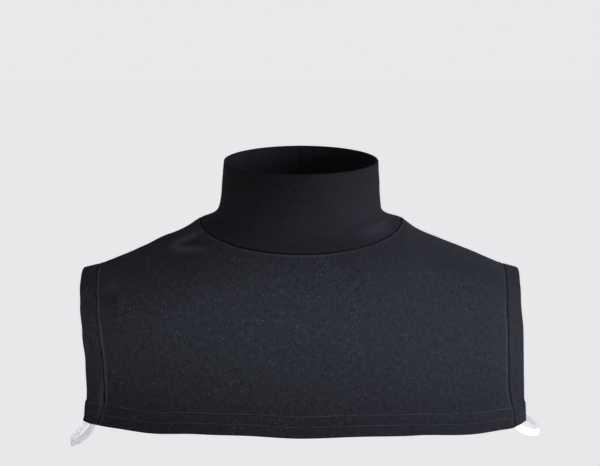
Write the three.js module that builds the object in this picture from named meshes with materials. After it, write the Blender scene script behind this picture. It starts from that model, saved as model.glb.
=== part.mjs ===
// Turtleneck dickey: a sleeveless knitted bib with a stand collar, worn under a jacket or jumper.
// Sizes are in mm. +Z is up, the wearer faces -Y and +X is the right of someone looking at the front.
// The origin is the middle of the neck seat, level with the two side neck points.
//
// All the cloth lies on one draped surface. A place on it is given by x, the distance from the
// middle, and a slide, which is 0 on the shoulder line and grows with the distance the cloth runs
// down from there: 1 where the rounding over the shoulder ends and the cloth hangs straight.

import * as THREE from 'three';

// Outline of the bib
const NECK_HALF = 80; // from the middle to a side neck point
const NECK_DROP_FRONT = 21.5; // front of the neck seam below the side neck points
const NECK_DROP_BACK = 2; // back of the neck seam below the side neck points
const NECK_ROUND = 1.15; // 1 gives an elliptic neck seam, more gives a pointed one
const BIB_HALF = 173; // from the middle to the outer edge of an arm band
const BIB_FALL = 154.2; // from the side neck points down to the hem
const SHOULDER_SLOPE = 0.418; // fall of the shoulder line for each mm outward
const NECK_RISE = 4; // extra height of the shoulder line close to the collar
const NECK_RISE_REACH = 11; // distance over which that extra height fades

// How the cloth stands off the wearer
const ARCH_FALL = 58; // height of the rounding over the shoulder
const FRONT_DEPTH = 74; // middle of the front, level with the side neck points
const FRONT_SWELL = 0.26; // growth of that depth for each mm downward
const BACK_DEPTH = 76;
const BACK_SWELL = 0.18;
const EDGE_DEPTH = 46; // arm edges, level with the side neck points
const EDGE_SWELL = 0.1;
const CHEST_ROUND = 2.2; // how flat the chest is between its middle and the arm edges

// Collar
const COLLAR_HALF = 61.4; // half width at the rim
const COLLAR_DEPTH_HALF = 58; // half depth at the rim
const COLLAR_BACK_SHIFT = -8; // middle of the rim along Y
const COLLAR_HEIGHT = 47; // rim above the side neck points
const COLLAR_TILT = 0.145; // rise of the rim for each mm toward the back
const COLLAR_FOOT = 17; // length of the part that lies out along the shoulder
const RIM_ROUND = 0.35; // height of the rounded rim, as a share of the wall

// Cloth, seams, hem and arm bands
const CLOTH = 1.2; // one layer of the jersey
const DOUBLE = 2 * CLOTH; // collar, arm bands and hem turn-up
const GAP = 0.3; // between pieces that meet at a seam
const SEAM_LIFT = 0.5; // collar and arm bands stand this far above the bib
const BAND_WIDTH = 13;
const HEM_DEPTH = 16;
const HEM_RAMP_HEIGHT = 2; // height over which the turn-up thickens
const BAND_STAND = 2.4; // how far the outer edge of a band stands up on top of the shoulder
const EDGE_THIN = 0.45; // thickness left at the folded edges of a band, as a share
const CORNER_RADIUS = 1.4; // rounding of a lower corner, at the end of an arm band

// Under-arm straps
const STRAP_WIDTH = 5.6;
const STRAP_THICK = 1;
const STRAP_HOLD = 13; // length caught inside the hem at each end
const STRAP_SAG = 21; // lowest point below the hem
const STRAP_BOW = 25.5; // outermost point past the ends

// Fineness of the meshes
const SHOULDER_COLUMNS = 8;
const NECK_COLUMNS = 28; // along the neck seam of one panel, and along half of the collar
const FRONT_ROWS = 17;
const BACK_ROWS = 14;
const HEM_ROWS = 3;
const COLLAR_ROWS = 8;
const BAND_COLUMNS = 4;
const STRAP_ROWS = 34;

const SIDES = { left: -1, right: 1 };
const FRONT = 1;
const BACK = -1;
const STEP = 1e-3; // distance for slopes found by differences

// At each end of the shoulder line: how sharply the collar turns up from its foot, and how far
// the inner end of that foot lies below the line of the bib, as a share of COLLAR_FOOT.
const COLLAR_TURN = {
  left: { sharp: 4, sink: 0.09 },
  right: { sharp: 6, sink: 0.165 },
};

// How far the shoulder line stands above its plain slope, as a share of NECK_RISE, by share of
// the way from a side neck point to the outer edge.
const SHOULDER_WAVES = [
  { along: 0, left: 0, right: 0 },
  { along: 0.08, left: 0.03, right: -0.1 },
  { along: 0.18, left: 0.24, right: 0.02 },
  { along: 0.33, left: 0.4, right: 0.1 },
  { along: 0.48, left: 0.1, right: 0.18 },
  { along: 0.59, left: -0.06, right: 0.18 },
  { along: 0.75, left: 0.03, right: 0.08 },
  { along: 1, left: 0, right: 0.04 },
];

// How far each arm edge swings inward, as a share of BIB_HALF, by share of BIB_FALL downward.
const EDGE_SWING = [
  { down: 0.26, left: -0.003, right: 0.002 },
  { down: 0.33, left: 0.001, right: 0.01 },
  { down: 0.42, left: 0.01, right: 0.014 },
  { down: 0.55, left: 0.024, right: 0.008 },
  { down: 0.7, left: 0.038, right: 0.006 },
  { down: 0.85, left: 0.044, right: 0.005 },
  { down: 0.95, left: 0.038, right: 0.002 },
  { down: 1.0, left: 0.03, right: 0.0 },
];

// How far the front hem hangs below its level, as a share of BIB_FALL, by share of BIB_HALF across.
const HEM_WAVES = [
  { across: -1.0, drop: -0.006 },
  { across: -0.86, drop: -0.001 },
  { across: -0.68, drop: 0.005 },
  { across: -0.45, drop: -0.009 },
  { across: -0.25, drop: -0.011 },
  { across: 0.0, drop: -0.001 },
  { across: 0.25, drop: -0.006 },
  { across: 0.5, drop: 0.0 },
  { across: 0.75, drop: 0.017 },
  { across: 0.9, drop: 0.011 },
  { across: 1.0, drop: -0.005 },
];

// Soft drag folds over the left shoulder. Places are shares of BIB_HALF across and of
// BIB_FALL downward; height and width are shares of BAND_WIDTH.
const FOLDS = [
  { across: [-0.47, -0.6], down: [0.045, 0.125], height: 0.11, width: 0.3 },
  { across: [-0.475, -0.61], down: [0.13, 0.15], height: 0.09, width: 0.3 },
];

// The part of a strap that hangs free: place between its two ends, drop as a share of
// STRAP_SAG and swing outward as a share of STRAP_BOW.
const STRAP_LOOP = [
  { along: 0.07, sag: 0.36, bow: 0.22 },
  { along: 0.24, sag: 0.8, bow: 0.72 },
  { along: 0.5, sag: 1, bow: 1 },
  { along: 0.76, sag: 0.8, bow: 0.72 },
  { along: 0.93, sag: 0.36, bow: 0.22 },
];

// The straps hang unlike each other; these are shares of STRAP_SAG.
const STRAP_HANG = { left: 1.24, right: 0.76 };

/** Value of one column of a table at a place along it, on a smooth line through the rows. */
function readTable(rows, key, place, value) {
  if (place <= rows[0][key]) {
    return rows[0][value];
  }
  const next = rows.findIndex((row) => row[key] >= place);
  if (next < 0) {
    return rows[rows.length - 1][value];
  }
  const from = rows[next - 1];
  const to = rows[next];
  const share = THREE.MathUtils.smoothstep(place, from[key], to[key]);
  return THREE.MathUtils.lerp(from[value], to[value], share);
}

/** Height of the shoulder line at a distance from the middle; it crests over the neck hole. */
function ridge(x) {
  const past = Math.abs(x) - NECK_HALF;
  if (past >= 0) {
    const fade = 1 - Math.exp(-((past / NECK_RISE_REACH) ** 2));
    const along = past / (BIB_HALF - NECK_HALF);
    const wave = readTable(SHOULDER_WAVES, 'along', along, x < 0 ? 'left' : 'right');
    return -SHOULDER_SLOPE * past - NECK_RISE * (fade - wave);
  }
  return SHOULDER_SLOPE * (NECK_HALF ** 2 - x ** 2) / (2 * NECK_HALF);
}

/** Slide of a point that lies a height below the shoulder line. */
function slideAt(fall) {
  if (fall <= 0) {
    return 0;
  }
  if (fall < ARCH_FALL) {
    return Math.acos(1 - fall / ARCH_FALL) / (Math.PI / 2);
  }
  return 1 + (fall - ARCH_FALL) / (ARCH_FALL * Math.PI / 2);
}

/** Distance of the cloth from the shoulder plane, front or back. */
function depthAt(x, z, side) {
  const middle = side === FRONT ? FRONT_DEPTH - FRONT_SWELL * z : BACK_DEPTH - BACK_SWELL * z;
  const edge = EDGE_DEPTH - EDGE_SWELL * z;
  const across = Math.min(Math.abs(x) / BIB_HALF, 1);
  return edge + (middle - edge) * (1 - across ** CHEST_ROUND);
}

/** Point of the draped surface; the slide is positive down the front and negative down the back. */
function drapePoint(x, slide) {
  const side = slide >= 0 ? FRONT : BACK;
  const along = Math.abs(slide);
  const angle = Math.min(along, 1) * Math.PI / 2;
  const straight = Math.max(along - 1, 0) * ARCH_FALL * Math.PI / 2;
  const z = ridge(x) - ARCH_FALL * (1 - Math.cos(angle)) - straight;
  const column = x < 0 ? 'left' : 'right';
  const swing = readTable(EDGE_SWING, 'down', -z / BIB_FALL, column) * BIB_HALF;
  const pulled = x - Math.sign(x) * swing * (x / BIB_HALF) ** 2;
  return new THREE.Vector3(pulled, -side * depthAt(x, z, side) * Math.sin(angle), z);
}

/** Outward direction of the draped surface. */
function drapeNormal(x, slide) {
  const across = drapePoint(x + STEP, slide).sub(drapePoint(x - STEP, slide));
  const along = drapePoint(x, slide + STEP).sub(drapePoint(x, slide - STEP));
  return along.cross(across).normalize();
}

/** Height of the drag folds above the smooth surface at a point. */
function foldHeight(point) {
  const spot = new THREE.Vector3(point.x, Math.max(point.y, 0), point.z);
  return FOLDS.reduce((sum, fold) => {
    const from = new THREE.Vector3(fold.across[0] * BIB_HALF, 0, -fold.down[0] * BIB_FALL);
    const to = new THREE.Vector3(fold.across[1] * BIB_HALF, 0, -fold.down[1] * BIB_FALL);
    const nearest = new THREE.Line3(from, to).closestPointToPoint(spot, true, new THREE.Vector3());
    const off = nearest.distanceTo(spot) / (fold.width * BAND_WIDTH);
    return sum + fold.height * BAND_WIDTH * Math.exp(-off * off);
  }, 0);
}

/** Point at a height above the draped surface, folds included. */
function skin(x, slide, height) {
  const point = drapePoint(x, slide);
  return point.addScaledVector(drapeNormal(x, slide), height + foldHeight(point));
}

/** Slide of the hem at a distance from the middle, raised by a height. */
function hemSlide(x, side, raised) {
  const wave = side === FRONT ? readTable(HEM_WAVES, 'across', x / BIB_HALF, 'drop') : 0;
  return side * slideAt(ridge(x) + BIB_FALL * (1 + wave) - raised);
}

/** Point of the neck seam: angle 0 is the right side neck point, a quarter turn is the front. */
function neckSpot(angle, grow) {
  const x = (NECK_HALF + grow) * Math.cos(angle);
  const sine = Math.sin(angle);
  const side = sine >= 0 ? FRONT : BACK;
  const drop = (side === FRONT ? NECK_DROP_FRONT : NECK_DROP_BACK) + grow;
  const fall = ridge(x) + drop * Math.abs(sine) ** NECK_ROUND;
  return { x, slide: side * slideAt(fall) };
}

/** A box of unit size, each point of it moved by place(u, v, w), all three from 0 to 1. */
function bentBox(columns, rows, layers, place) {
  const shape = new THREE.BoxGeometry(1, 1, 1, columns, rows, layers);
  const points = shape.attributes.position;
  for (let i = 0; i < points.count; i += 1) {
    const spot = place(points.getX(i) + 0.5, points.getY(i) + 0.5, points.getZ(i) + 0.5);
    points.setXYZ(i, spot.x, spot.y, spot.z);
  }
  shape.computeVertexNormals();
  return shape;
}

/** Distance from the middle at which the bib ends against the inner edge of an arm band. */
function bibEdge() {
  return BIB_HALF - BAND_WIDTH - GAP;
}

/** Slide at which a panel ends along the shoulder seam. */
function shoulderSlide() {
  return GAP / (EDGE_DEPTH * Math.PI);
}

/** Top edge of a panel, from the left shoulder tip over the neck seam to the right one. */
function topSpot(u, side) {
  const shoulder = SHOULDER_COLUMNS / (2 * SHOULDER_COLUMNS + NECK_COLUMNS);
  const seam = shoulderSlide();
  if (u < shoulder || u > 1 - shoulder) {
    const fromTip = Math.min(u, 1 - u) / shoulder;
    const x = THREE.MathUtils.lerp(bibEdge(), NECK_HALF + GAP, fromTip);
    return { x: u < 0.5 ? -x : x, slide: side * seam };
  }
  const share = (u - shoulder) / (1 - 2 * shoulder);
  const spot = neckSpot(side * Math.PI * (1 - share), GAP);
  return { x: spot.x, slide: side * Math.max(Math.abs(spot.slide), seam) };
}

/** Slide of one row of cloth; the lowest rows keep to the hem turn-up. */
function rowSlide(x, side, row, rows, top) {
  const edge = HEM_DEPTH + HEM_RAMP_HEIGHT;
  if (row < HEM_ROWS) {
    return hemSlide(x, side, HEM_DEPTH * row / (HEM_ROWS - 1));
  }
  return THREE.MathUtils.lerp(hemSlide(x, side, edge), top, (row - HEM_ROWS) / (rows - HEM_ROWS));
}

/** Front or back panel: one layer of jersey with the hem turned up inside. */
function panel(side, rows) {
  const columns = 2 * SHOULDER_COLUMNS + NECK_COLUMNS;
  return bentBox(columns, rows, 1, (across, v, w) => {
    const u = side === FRONT ? across : 1 - across;
    const row = Math.round(v * rows);
    const top = topSpot(u, side);
    const hemX = bibEdge() * (2 * u - 1);
    const low = hemSlide(hemX, side, 0);
    const slide = rowSlide(hemX, side, row, rows, top.slide);
    const x = THREE.MathUtils.lerp(hemX, top.x, (slide - low) / (top.slide - low));
    const thick = row < HEM_ROWS ? DOUBLE : CLOTH;
    return skin(x, slide, w > 0.5 ? 0 : -thick);
  });
}

/** Arm band: a folded strip from the front hem over the shoulder to the back hem. */
function armBand(hand) {
  const rows = FRONT_ROWS + BACK_ROWS + 1;
  return bentBox(BAND_COLUMNS, rows, 1, (u, v, w) => {
    const outward = hand > 0 ? u : 1 - u;
    const x = hand * (BIB_HALF - BAND_WIDTH * (1 - outward));
    const row = Math.round(v * rows);
    const side = row <= FRONT_ROWS ? FRONT : BACK;
    const fromHem = side === FRONT ? row : rows - row;
    const top = side * shoulderSlide();
    const low = hemSlide(x, side, CORNER_RADIUS * THREE.MathUtils.smoothstep(outward, 0.5, 1));
    const level = rowSlide(x, side, fromHem, side === FRONT ? FRONT_ROWS : BACK_ROWS, top);
    const slide = fromHem === 0 ? low : level;
    const stand = BAND_STAND * outward * Math.cos(Math.min(Math.abs(slide), 1) * Math.PI / 2);
    const edge = u === 0 || u === 1 ? EDGE_THIN : 1;
    return skin(x, slide, SEAM_LIFT + stand - DOUBLE / 2 + (w - 0.5) * DOUBLE * edge);
  });
}

/** Point of the draped surface on the neck seam. */
function seamPoint(angle) {
  const spot = neckSpot(angle, 0);
  return drapePoint(spot.x, spot.slide);
}

/** Point of the collar's outer face: rise 0 is the neck seam and rise 1 the rim. */
function collarPoint(angle, rise) {
  const spot = neckSpot(angle, 0);
  const seam = skin(spot.x, spot.slide, SEAM_LIFT);
  const around = seamPoint(angle + STEP).sub(seamPoint(angle - STEP));
  const outward = drapeNormal(spot.x, spot.slide);
  const inward = around.cross(outward).normalize();
  const y = COLLAR_BACK_SHIFT - COLLAR_DEPTH_HALF * Math.sin(angle);
  const rim = new THREE.Vector3(COLLAR_HALF * Math.cos(angle), y, COLLAR_HEIGHT + COLLAR_TILT * y);
  const rightward = (1 + Math.cos(angle)) / 2;
  const sharp = THREE.MathUtils.lerp(COLLAR_TURN.left.sharp, COLLAR_TURN.right.sharp, rightward);
  const sink = THREE.MathUtils.lerp(COLLAR_TURN.left.sink, COLLAR_TURN.right.sink, rightward);
  const turn = inward.multiplyScalar(COLLAR_FOOT).addScaledVector(outward, -sink * COLLAR_FOOT);
  turn.add(seam);
  const shares = [(1 - rise) ** 2, 2 * sharp * rise * (1 - rise), rise ** 2];
  const sum = shares[0] + shares[1] + shares[2];
  const point = seam.multiplyScalar(shares[0] / sum);
  point.addScaledVector(turn, shares[1] / sum);
  return point.addScaledVector(rim, shares[2] / sum);
}

/** Outward direction of the collar's outer face; at the neck seam it is that of the bib. */
function collarNormal(angle, rise) {
  if (rise === 0) {
    const spot = neckSpot(angle, 0);
    return drapeNormal(spot.x, spot.slide);
  }
  const inside = Math.min(rise, 1 - STEP);
  const around = collarPoint(angle + STEP, inside).sub(collarPoint(angle - STEP, inside));
  const up = collarPoint(angle, inside + STEP).sub(collarPoint(angle, inside - STEP));
  return up.cross(around).normalize();
}

/** Collar: a folded tube, open at both ends, with a rounded fold for its rim. */
function collar() {
  const columns = 2 * NECK_COLUMNS;
  const wall = [];
  for (let row = 0; row <= COLLAR_ROWS; row += 1) {
    wall.push(new THREE.Vector2(0, row / COLLAR_ROWS));
  }
  wall.push(new THREE.Vector2(0.5, 1 + RIM_ROUND * DOUBLE / COLLAR_HEIGHT));
  for (let row = COLLAR_ROWS; row >= 0; row -= 1) {
    wall.push(new THREE.Vector2(1, row / COLLAR_ROWS));
  }
  wall.push(wall[0].clone());
  const shape = new THREE.LatheGeometry(wall, columns);
  const points = shape.attributes.position;
  for (let i = 0; i < points.count; i += 1) {
    const section = wall[i % wall.length];
    const turn = Math.floor(i / wall.length) % columns;
    const angle = 2 * Math.PI * turn / columns;
    const rise = Math.min(section.y, 1);
    const spot = collarPoint(angle, rise);
    spot.addScaledVector(collarNormal(angle, rise), (section.x - 1) * DOUBLE);
    spot.z += (section.y - rise) * COLLAR_HEIGHT;
    points.setXYZ(i, spot.x, spot.y, spot.z);
  }
  shape.computeVertexNormals();
  return shape;
}

/** Places and facing directions along a strap, from inside the front hem to inside the back hem. */
function strapCourse(side) {
  const hand = SIDES[side];
  const x = hand * (BIB_HALF - BAND_WIDTH / 2);
  const inside = SEAM_LIFT - DOUBLE - GAP - STRAP_THICK / 2;
  const held = (end, raised) => {
    const slide = hemSlide(x, end, raised);
    return { place: skin(x, slide, inside), facing: drapeNormal(x, slide) };
  };
  const front = held(FRONT, 0);
  const back = held(BACK, 0);
  const loop = STRAP_LOOP.map(({ along, sag, bow }) => {
    const place = front.place.clone().lerp(back.place, along);
    place.x += hand * bow * STRAP_BOW;
    place.z -= sag * STRAP_HANG[side] * STRAP_SAG;
    const facing = front.facing.clone().lerp(back.facing, along);
    return { place, facing: facing.setZ(0).normalize() };
  });
  const entry = [held(FRONT, STRAP_HOLD), held(FRONT, STRAP_HOLD / 2), front];
  const exit = [back, held(BACK, STRAP_HOLD / 2), held(BACK, STRAP_HOLD)];
  return [...entry, ...loop, ...exit];
}

/** Under-arm strap: a flat elastic ribbon whose ends lie against the inside of the arm band. */
function strap(side) {
  const course = strapCourse(side);
  const line = new THREE.CatmullRomCurve3(course.map(({ place }) => place));
  const facings = new THREE.CatmullRomCurve3(course.map(({ facing }) => facing));
  return bentBox(2, STRAP_ROWS, 1, (u, v, w) => {
    const along = line.getTangent(v);
    const across = along.clone().cross(facings.getPoint(v)).normalize();
    const outward = across.clone().cross(along);
    const place = line.getPoint(v).addScaledVector(across, (u - 0.5) * STRAP_WIDTH);
    return place.addScaledVector(outward, (w - 0.5) * STRAP_THICK);
  });
}

const jersey = { color: 0x24252a, roughness: 0.92, metalness: 0 };
const elastic = { color: 0xdfe2e4, roughness: 0.35, metalness: 0 };

const group = new THREE.Group();
group.name = 'turtleneck_dickey';

/** Adds one named piece with a finish of its own. */
function addPiece(name, shape, finish) {
  const mesh = new THREE.Mesh(shape, new THREE.MeshStandardMaterial(finish));
  mesh.name = name;
  group.add(mesh);
}

addPiece('collar', collar(), jersey);
addPiece('front_panel', panel(FRONT, FRONT_ROWS), jersey);
addPiece('back_panel', panel(BACK, BACK_ROWS), jersey);
Object.entries(SIDES).forEach(([side, hand]) => {
  addPiece(`arm_band_${side}`, armBand(hand), jersey);
  addPiece(`strap_${side}`, strap(side), elastic);
});

export default group;
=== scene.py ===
"""Turtleneck dickey: a jersey bib with a stand collar, banded arm edges and clear straps.

Sizes are in metres. +Z is up, the wearer faces -Y and +X is the right of someone looking at the
front. The origin is the middle of the neck seat, level with the two side neck points.

All the cloth lies on one draped surface. A place on it is given by x, the distance from the middle,
and a slide, which is 0 on the shoulder line, positive down the front and negative down the back: 1
where the rounding over the shoulder ends and the cloth hangs straight.
"""

import logging
import math
from dataclasses import dataclass, field
from enum import Enum

import bmesh
import bpy
import numpy as np
from mathutils import Matrix, Vector
from mathutils.kdtree import KDTree


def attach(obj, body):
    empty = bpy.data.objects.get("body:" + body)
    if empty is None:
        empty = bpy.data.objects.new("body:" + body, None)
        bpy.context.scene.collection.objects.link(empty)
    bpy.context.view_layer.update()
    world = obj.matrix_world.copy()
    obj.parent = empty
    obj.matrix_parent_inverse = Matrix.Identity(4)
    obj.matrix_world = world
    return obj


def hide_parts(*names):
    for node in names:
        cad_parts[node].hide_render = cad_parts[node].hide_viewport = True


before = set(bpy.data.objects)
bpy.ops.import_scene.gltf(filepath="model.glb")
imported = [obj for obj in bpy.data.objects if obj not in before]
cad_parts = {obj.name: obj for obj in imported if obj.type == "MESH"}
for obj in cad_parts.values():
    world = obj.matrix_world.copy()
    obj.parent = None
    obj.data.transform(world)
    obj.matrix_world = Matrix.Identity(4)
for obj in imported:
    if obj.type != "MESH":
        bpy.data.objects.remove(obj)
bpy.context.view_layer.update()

Array = np.ndarray
Table = tuple[tuple[float, float], ...]

LOG = logging.getLogger("dickey")
GRAIN = "grain"  # UV map in metres: across the wales, then along them
PAINTED_SHADE = "painted_shade"  # attribute: painted shade up to 1, below 0 a painted highlight
BODY = "root"


class Side(Enum):
    """Front or back of the wearer."""

    FRONT = 1
    BACK = -1


class Hand(Enum):
    """Side of the picture that a piece hangs on."""

    LEFT = -1
    RIGHT = 1


class Slot(Enum):
    """Material slots of the record."""

    COLLAR = "collar_jersey"
    PANEL = "panel_jersey"
    BAND = "band_jersey"
    ELASTIC = "clear_elastic"


def unit(vectors: Array) -> Array:
    """Vectors of length 1 along the given ones."""
    return vectors / np.linalg.norm(vectors, axis=-1, keepdims=True)


def smoothstep(value: Array, low: float, high: float) -> Array:
    """Smooth ramp from 0 at low to 1 at high."""
    share = np.clip((value - low) / (high - low), 0.0, 1.0)
    return share * share * (3.0 - 2.0 * share)


def read_table(rows: Table, place: Array) -> Array:
    """Value of a table at places along it, on a smooth line through its rows.

    Args:
        rows: pairs of a place and a value, in rising order of place.
        place: where to read it.

    Returns:
        One value for each place, held level past both ends.
    """
    places, values = np.array(rows).T
    after = np.clip(np.searchsorted(places, place), 1, len(places) - 1)
    low, high = places[after - 1], places[after]
    share = np.clip((place - low) / (high - low), 0.0, 1.0)
    share = share * share * (3.0 - 2.0 * share)
    return values[after - 1] + (values[after] - values[after - 1]) * share


def reach_along(points: Array) -> Array:
    """Length along each line of points up to every point of it."""
    steps = np.linalg.norm(np.diff(points, axis=-2), axis=-1)
    start = np.zeros((*steps.shape[:-1], 1))
    return np.concatenate([start, np.cumsum(steps, axis=-1)], axis=-1)


def bump_at(distance: Array, middle: float, width: float) -> Array:
    """Bell-shaped share, 1 at the middle and near 0 past two widths from it."""
    return np.exp(-(((distance - middle) / width) ** 2))


def sided(x: Array, left: Table, right: Table, place: Array) -> Array:
    """Value of the left table for places left of the middle, and of the right one for others."""
    return np.where(x < 0.0, read_table(left, place), read_table(right, place))


def stations(length: float, features: tuple[float, ...], fine: float, coarse: float) -> Array:
    """Places along a length, close together near its features and wider apart between them.

    Args:
        length: the length to divide.
        features: places that need a close spacing.
        fine: spacing at a feature.
        coarse: widest spacing.

    Returns:
        Rising places from 0 to the length.
    """
    growth = 0.3
    places = [0.0]
    while places[-1] < length:
        here = places[-1]
        off = min(abs(here - spot) for spot in features)
        places.append(here + min(coarse, fine + growth * off))
    return np.array(places) * length / places[-1]


@dataclass(frozen=True)
class Drape:
    """The surface that the cloth lies on, with the outline of the bib and the worn form."""

    neck_half: float = 0.080
    neck_drop_front: float = 0.0215
    neck_drop_back: float = 0.002
    neck_round: float = 1.15
    bib_half: float = 0.173
    bib_fall: float = 0.1542
    band_width: float = 0.013
    shoulder_slope: float = 0.418
    neck_rise: float = 0.004
    neck_rise_reach: float = 0.011
    arch_fall: float = 0.058
    front_depth: float = 0.074
    front_swell: float = 0.26
    back_depth: float = 0.076
    back_swell: float = 0.18
    edge_depth: float = 0.046
    edge_swell: float = 0.1
    chest_round: float = 2.2
    step: float = 1e-6
    slide_step: float = 1e-3
    seam_reach: float = 0.6  # share of the bib's half width where a seam's wander starts
    girth_slide: float = 1.4  # slide of the line across the chest that measures the girth
    fold_shade: float = 0.0024  # height of a fold at which its shade is full
    # Ramps at the start and the end of a fold, by share of its length
    fold_start: tuple[float, float] = (-0.25, 0.3)
    fold_end: tuple[float, float] = (1.0, 0.5)
    # How far the shoulder line stands above its plain slope, as a share of neck_rise, by share of
    # the way from a side neck point to the outer edge
    waves_left: Table = (
        (0.0, 0.0), (0.08, 0.03), (0.18, 0.24), (0.33, 0.4), (0.48, 0.1), (0.59, -0.06),
        (0.75, 0.03), (1.0, 0.0),
    )
    waves_right: Table = (
        (0.0, 0.0), (0.08, -0.1), (0.18, 0.02), (0.33, 0.1), (0.48, 0.18), (0.59, 0.18),
        (0.75, 0.08), (1.0, 0.04),
    )
    # How far an arm edge swings inward, as a share of bib_half, by share of bib_fall downward
    swing_left: Table = (
        (0.26, -0.003), (0.33, 0.001), (0.42, 0.01), (0.55, 0.024),
        (0.7, 0.038), (0.85, 0.044), (0.95, 0.038), (1.0, 0.03),
    )
    swing_right: Table = (
        (0.26, 0.002), (0.33, 0.01), (0.42, 0.014), (0.55, 0.008),
        (0.7, 0.006), (0.85, 0.005), (0.95, 0.002), (1.0, 0.0),
    )
    # How far a band seam wanders inward, as a share of band_width, by share of bib_fall downward
    seam_left: Table = (
        (0.2, -0.06), (0.27, -0.05), (0.33, 0.0), (0.48, 0.06), (0.63, 0.19), (0.78, 0.25),
        (0.9, 0.25), (0.97, 0.06), (1.0, 0.0),
    )
    seam_right: Table = (
        (0.2, -0.14), (0.31, -0.15), (0.48, -0.06), (0.63, 0.0), (0.82, 0.0), (0.88, -0.12),
        (0.93, -0.25), (1.0, -0.27),
    )
    # How far the front hem hangs below its level, as a share of bib_fall, by share of bib_half
    hem_waves: Table = (
        (-1.0, -0.006), (-0.86, -0.001), (-0.68, 0.005), (-0.45, -0.009), (-0.25, -0.011),
        (0.0, -0.001), (0.25, -0.006), (0.5, 0.0), (0.75, 0.017), (0.9, 0.011), (1.0, -0.005),
    )
    # Drag folds over the left shoulder, a fold and a dent beside the left band, then a fold on
    # each band: start and end, each as shares of bib_half across and of bib_fall downward, then
    # height and width as shares of band_width. Each soft drag fold has a narrow crest and a
    # hollow below it.
    folds: tuple[tuple[float, ...], ...] = (
        (-0.46, 0.045, -0.61, 0.14, 0.09, 0.28),
        (-0.475, 0.125, -0.61, 0.138, 0.07, 0.28),
        (-0.43, 0.04, -0.63, 0.15, 0.08, 0.085),
        (-0.415, 0.122, -0.64, 0.138, 0.08, 0.085),
        (-0.45, 0.085, -0.55, 0.115, -0.07, 0.13),
        (-0.45, 0.15, -0.59, 0.162, -0.045, 0.14),
        (-0.865, 0.325, -0.8, 0.31, 0.04, 0.3),
        (-0.875, 0.385, -0.8, 0.37, -0.06, 0.38),
        (-0.893, 0.985, -0.878, 0.72, 0.07, 0.13),
        (0.985, 0.98, 0.975, 0.9, 0.05, 0.25),
    )

    def ridge(self, x: Array) -> Array:
        """Height of the shoulder line at a distance from the middle."""
        past = np.abs(x) - self.neck_half
        fade = 1.0 - np.exp(-((past / self.neck_rise_reach) ** 2))
        along = past / (self.bib_half - self.neck_half)
        wave = sided(x, self.waves_left, self.waves_right, along)
        outer = -self.shoulder_slope * past - self.neck_rise * (fade - wave)
        crest = self.shoulder_slope * (self.neck_half**2 - x**2) / (2.0 * self.neck_half)
        return np.where(past >= 0.0, outer, crest)

    def slide_at(self, fall: Array) -> Array:
        """Slide of a point that lies a height below the shoulder line."""
        fall = np.maximum(fall, 0.0)
        arch = np.arccos(np.clip(1.0 - fall / self.arch_fall, 0.0, 1.0)) * 2.0 / math.pi
        straight = 1.0 + (fall - self.arch_fall) / (self.arch_fall * math.pi / 2.0)
        return np.where(fall < self.arch_fall, arch, straight)

    def depth(self, x: Array, z: Array, front: Array) -> Array:
        """Distance of the cloth from the shoulder plane."""
        middle = np.where(
            front, self.front_depth - self.front_swell * z, self.back_depth - self.back_swell * z
        )
        edge = self.edge_depth - self.edge_swell * z
        across = np.minimum(np.abs(x) / self.bib_half, 1.0)
        return edge + (middle - edge) * (1.0 - across**self.chest_round)

    def point(self, x: Array, slide: Array) -> Array:
        """Point of the draped surface."""
        front = slide >= 0.0
        along = np.abs(slide)
        angle = np.minimum(along, 1.0) * math.pi / 2.0
        straight = np.maximum(along - 1.0, 0.0) * self.arch_fall * math.pi / 2.0
        z = self.ridge(x) - self.arch_fall * (1.0 - np.cos(angle)) - straight
        down = -z / self.bib_fall
        swing = sided(x, self.swing_left, self.swing_right, down)
        wander = sided(x, self.seam_left, self.seam_right, down)
        out = np.abs(x)
        edge = self.bib_edge()
        near_seam = np.where(
            out < edge, smoothstep(out, self.seam_reach * edge, edge),
            np.maximum(self.bib_half - out, 0.0) / self.band_width,
        )
        inward = swing * self.bib_half * (x / self.bib_half) ** 2
        pulled = x - np.sign(x) * (inward + wander * self.band_width * near_seam)
        y = np.where(front, -1.0, 1.0) * self.depth(x, z, front) * np.sin(angle)
        return np.stack([pulled, y, z], axis=-1)

    def normal(self, x: Array, slide: Array) -> Array:
        """Outward direction of the draped surface."""
        across = self.point(x + self.step, slide) - self.point(x - self.step, slide)
        along = self.point(x, slide + self.slide_step) - self.point(x, slide - self.slide_step)
        return unit(np.cross(along, across))

    def fold_height(self, points: Array) -> Array:
        """Height of the drag folds above the smooth surface."""
        total = np.zeros(points.shape[:-1])
        behind = np.maximum(points[..., 1], 0.0)
        for across, down, across_to, down_to, height, width in self.folds:
            start = np.array([across * self.bib_half, -down * self.bib_fall])
            run = np.array([across_to * self.bib_half, -down_to * self.bib_fall]) - start
            spot = points[..., [0, 2]] - start
            share = np.clip((spot @ run) / (run @ run), 0.0, 1.0)
            off = spot - share[..., None] * run
            square = (off**2).sum(axis=-1) + behind**2
            taper = smoothstep(share, *self.fold_start) * smoothstep(share, *self.fold_end)
            total += taper * height * np.exp(-square / (width * self.band_width) ** 2)
        return total * self.band_width

    def fold_painted_shade(self, points: Array) -> Array:
        """Painted shade in the drag folds' hollows, below 0 a painted highlight on their crests."""
        return np.clip(-self.fold_height(points) / self.fold_shade, -1.0, 1.0)

    def skin(self, x: Array, slide: Array, height: Array | float) -> Array:
        """Point at a height above the draped surface, folds included."""
        point = self.point(x, slide)
        lift = height + self.fold_height(point)
        return point + self.normal(x, slide) * np.asarray(lift)[..., None]

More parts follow.
